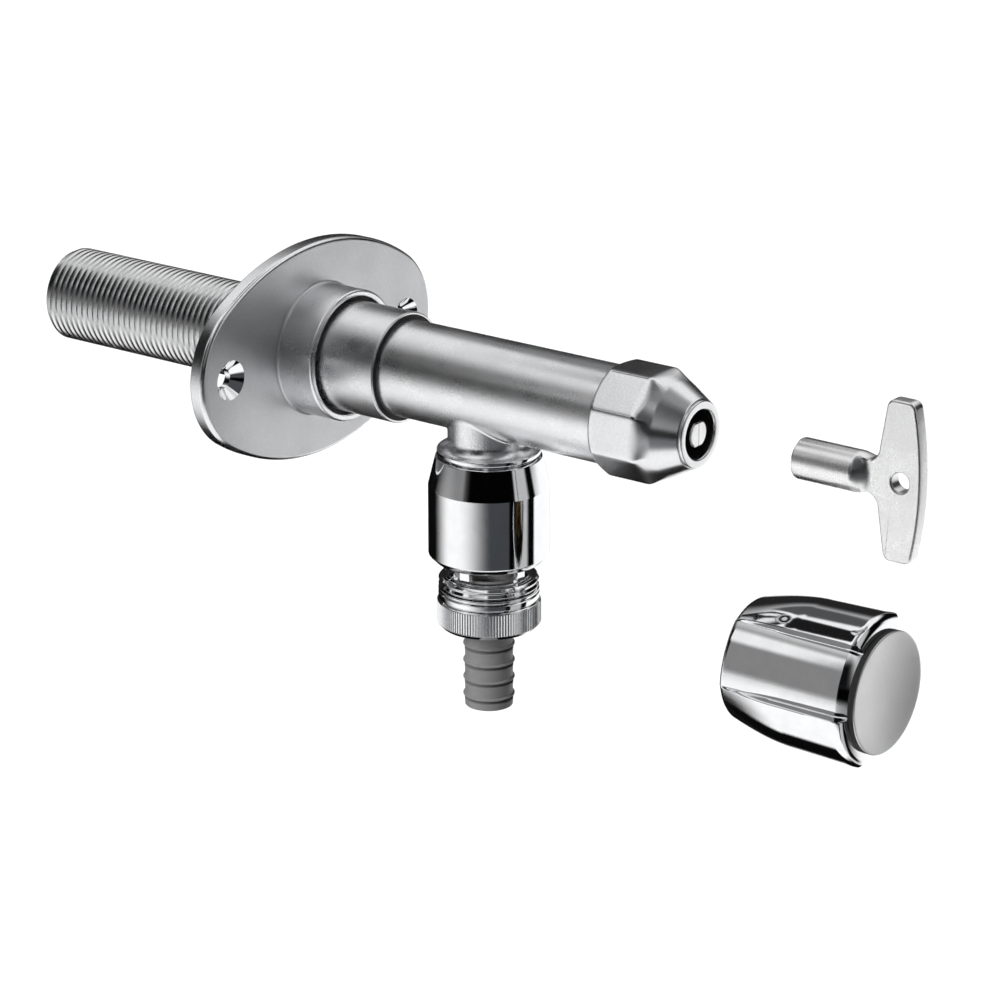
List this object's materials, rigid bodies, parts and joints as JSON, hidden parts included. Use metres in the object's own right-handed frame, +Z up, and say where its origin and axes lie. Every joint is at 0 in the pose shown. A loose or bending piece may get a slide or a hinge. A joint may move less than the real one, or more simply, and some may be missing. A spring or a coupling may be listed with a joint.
{
  "type": "frost free sillcock",
  "caption": "Wall tap with its valve at the end of a threaded wall tube, an oval flange, a vented hose outlet, and a socket key and lobed knob shown taken off.",
  "frame": {"origin": "middle of the wall flange's back face, on the tap's axis, between the two wall screws", "axes": "-Y out of the wall along the tap's axis, +Y along the wall tube, +Z up, outlet along -Z, +X to the right as the user faces the tap"},
  "size_m": [0.107, 0.3106, 0.1321],
  "materials": {
    "blasted_chrome": "matt chrome plating over a bead-blasted casting",
    "bright_chrome": "polished chrome plating",
    "turned_steel": "bright turned metal",
    "cast_zinc": "grainy die-cast zinc",
    "satin_disc": "satin grey metal",
    "raw_brass": "machined brass",
    "black_rubber": "moulded rubber",
    "pale_plastic": "moulded acetal",
    "grey_plastic": "moulded mid-grey plastic"
  },
  "bodies": {
    "tap": {"wall_tube": "turned_steel", "inlet_seat": "raw_brass", "inlet_o_ring": "black_rubber", "plug_guide": "raw_brass", "spindle_spider": "pale_plastic", "wall_flange": "blasted_chrome", "hub_seal": "black_rubber", "tap_body": "blasted_chrome", "tube_seal": "black_rubber", "head_nut": "blasted_chrome", "head_seal": "black_rubber", "gland_bush": "raw_brass", "gland_o_ring_inner": "black_rubber", "gland_o_ring_outer": "black_rubber", "gland_ring": "bright_chrome", "thrust_washer": "pale_plastic", "spindle_retainer": "raw_brass", "breaker_housing": "bright_chrome", "housing_gasket": "black_rubber", "check_cartridge": "pale_plastic", "check_spring": "turned_steel", "outlet_nipple": "bright_chrome", "float_stop": "pale_plastic", "vent_collar": "bright_chrome"},
    "spindle": {"spindle": "turned_steel"},
    "plug": {"valve_plug": "raw_brass", "plug_washer": "black_rubber", "washer_screw": "raw_brass"},
    "poppet": {"check_poppet": "pale_plastic", "poppet_seal": "black_rubber"},
    "float": {"vent_float": "pale_plastic"},
    "tail": {"hose_tail": "grey_plastic", "hose_gasket": "black_rubber"},
    "union": {"union_nut": "bright_chrome"},
    "key": {"socket_key": "cast_zinc"},
    "knob": {"knob_shell": "bright_chrome", "knob_insert": "raw_brass", "knob_screw": "turned_steel", "knob_cap": "satin_disc"}
  },
  "joints": [
    {"name": "spindle_turn", "type": "hinge", "parent": "tap", "child": "spindle", "pos_m": [0, 0, 0], "axis": [0, -1, 0], "range_deg": [0, 990]},
    {"name": "plug_lift", "type": "slide", "parent": "tap", "child": "plug", "axis": [0, -1, 0], "range_m": [0, 0.0055]},
    {"name": "key_slide", "type": "slide", "parent": "spindle", "child": "key", "axis": [0, 1, 0], "range_m": [0, 0.045]},
    {"name": "knob_turn", "type": "hinge", "parent": "tap", "child": "knob", "pos_m": [0, -0.1623, -0.0624], "axis": [0, -1, 0], "range_deg": [0, 990]},
    {"name": "check_open", "type": "slide", "parent": "tap", "child": "poppet", "axis": [0, 0, -1], "range_m": [0, 0.0032], "stiffness_N_per_m": 60, "springref_m": -0.004, "deforming": ["check_spring"]},
    {"name": "vent_lift", "type": "slide", "parent": "tap", "child": "float", "axis": [0, 0, 1], "range_m": [0, 0.00435]},
    {"name": "tail_drop", "type": "slide", "parent": "tap", "child": "tail", "axis": [0, 0, -1], "range_m": [0, 0.0109]},
    {"name": "union_turn", "type": "hinge", "parent": "tail", "child": "union", "pos_m": [0, -0.0685, 0], "axis": [0, 0, -1], "range_deg": [0, 2160]}
  ],
  "couplings": [
    {"joint": "plug_lift", "follows": "spindle_turn", "m_per_rad": 0.0003183},
    {"joint": "knob_turn", "follows": "spindle_turn", "ratio": 1},
    {"joint": "tail_drop", "follows": "union_turn", "m_per_rad": 0.0002887}
  ]
}
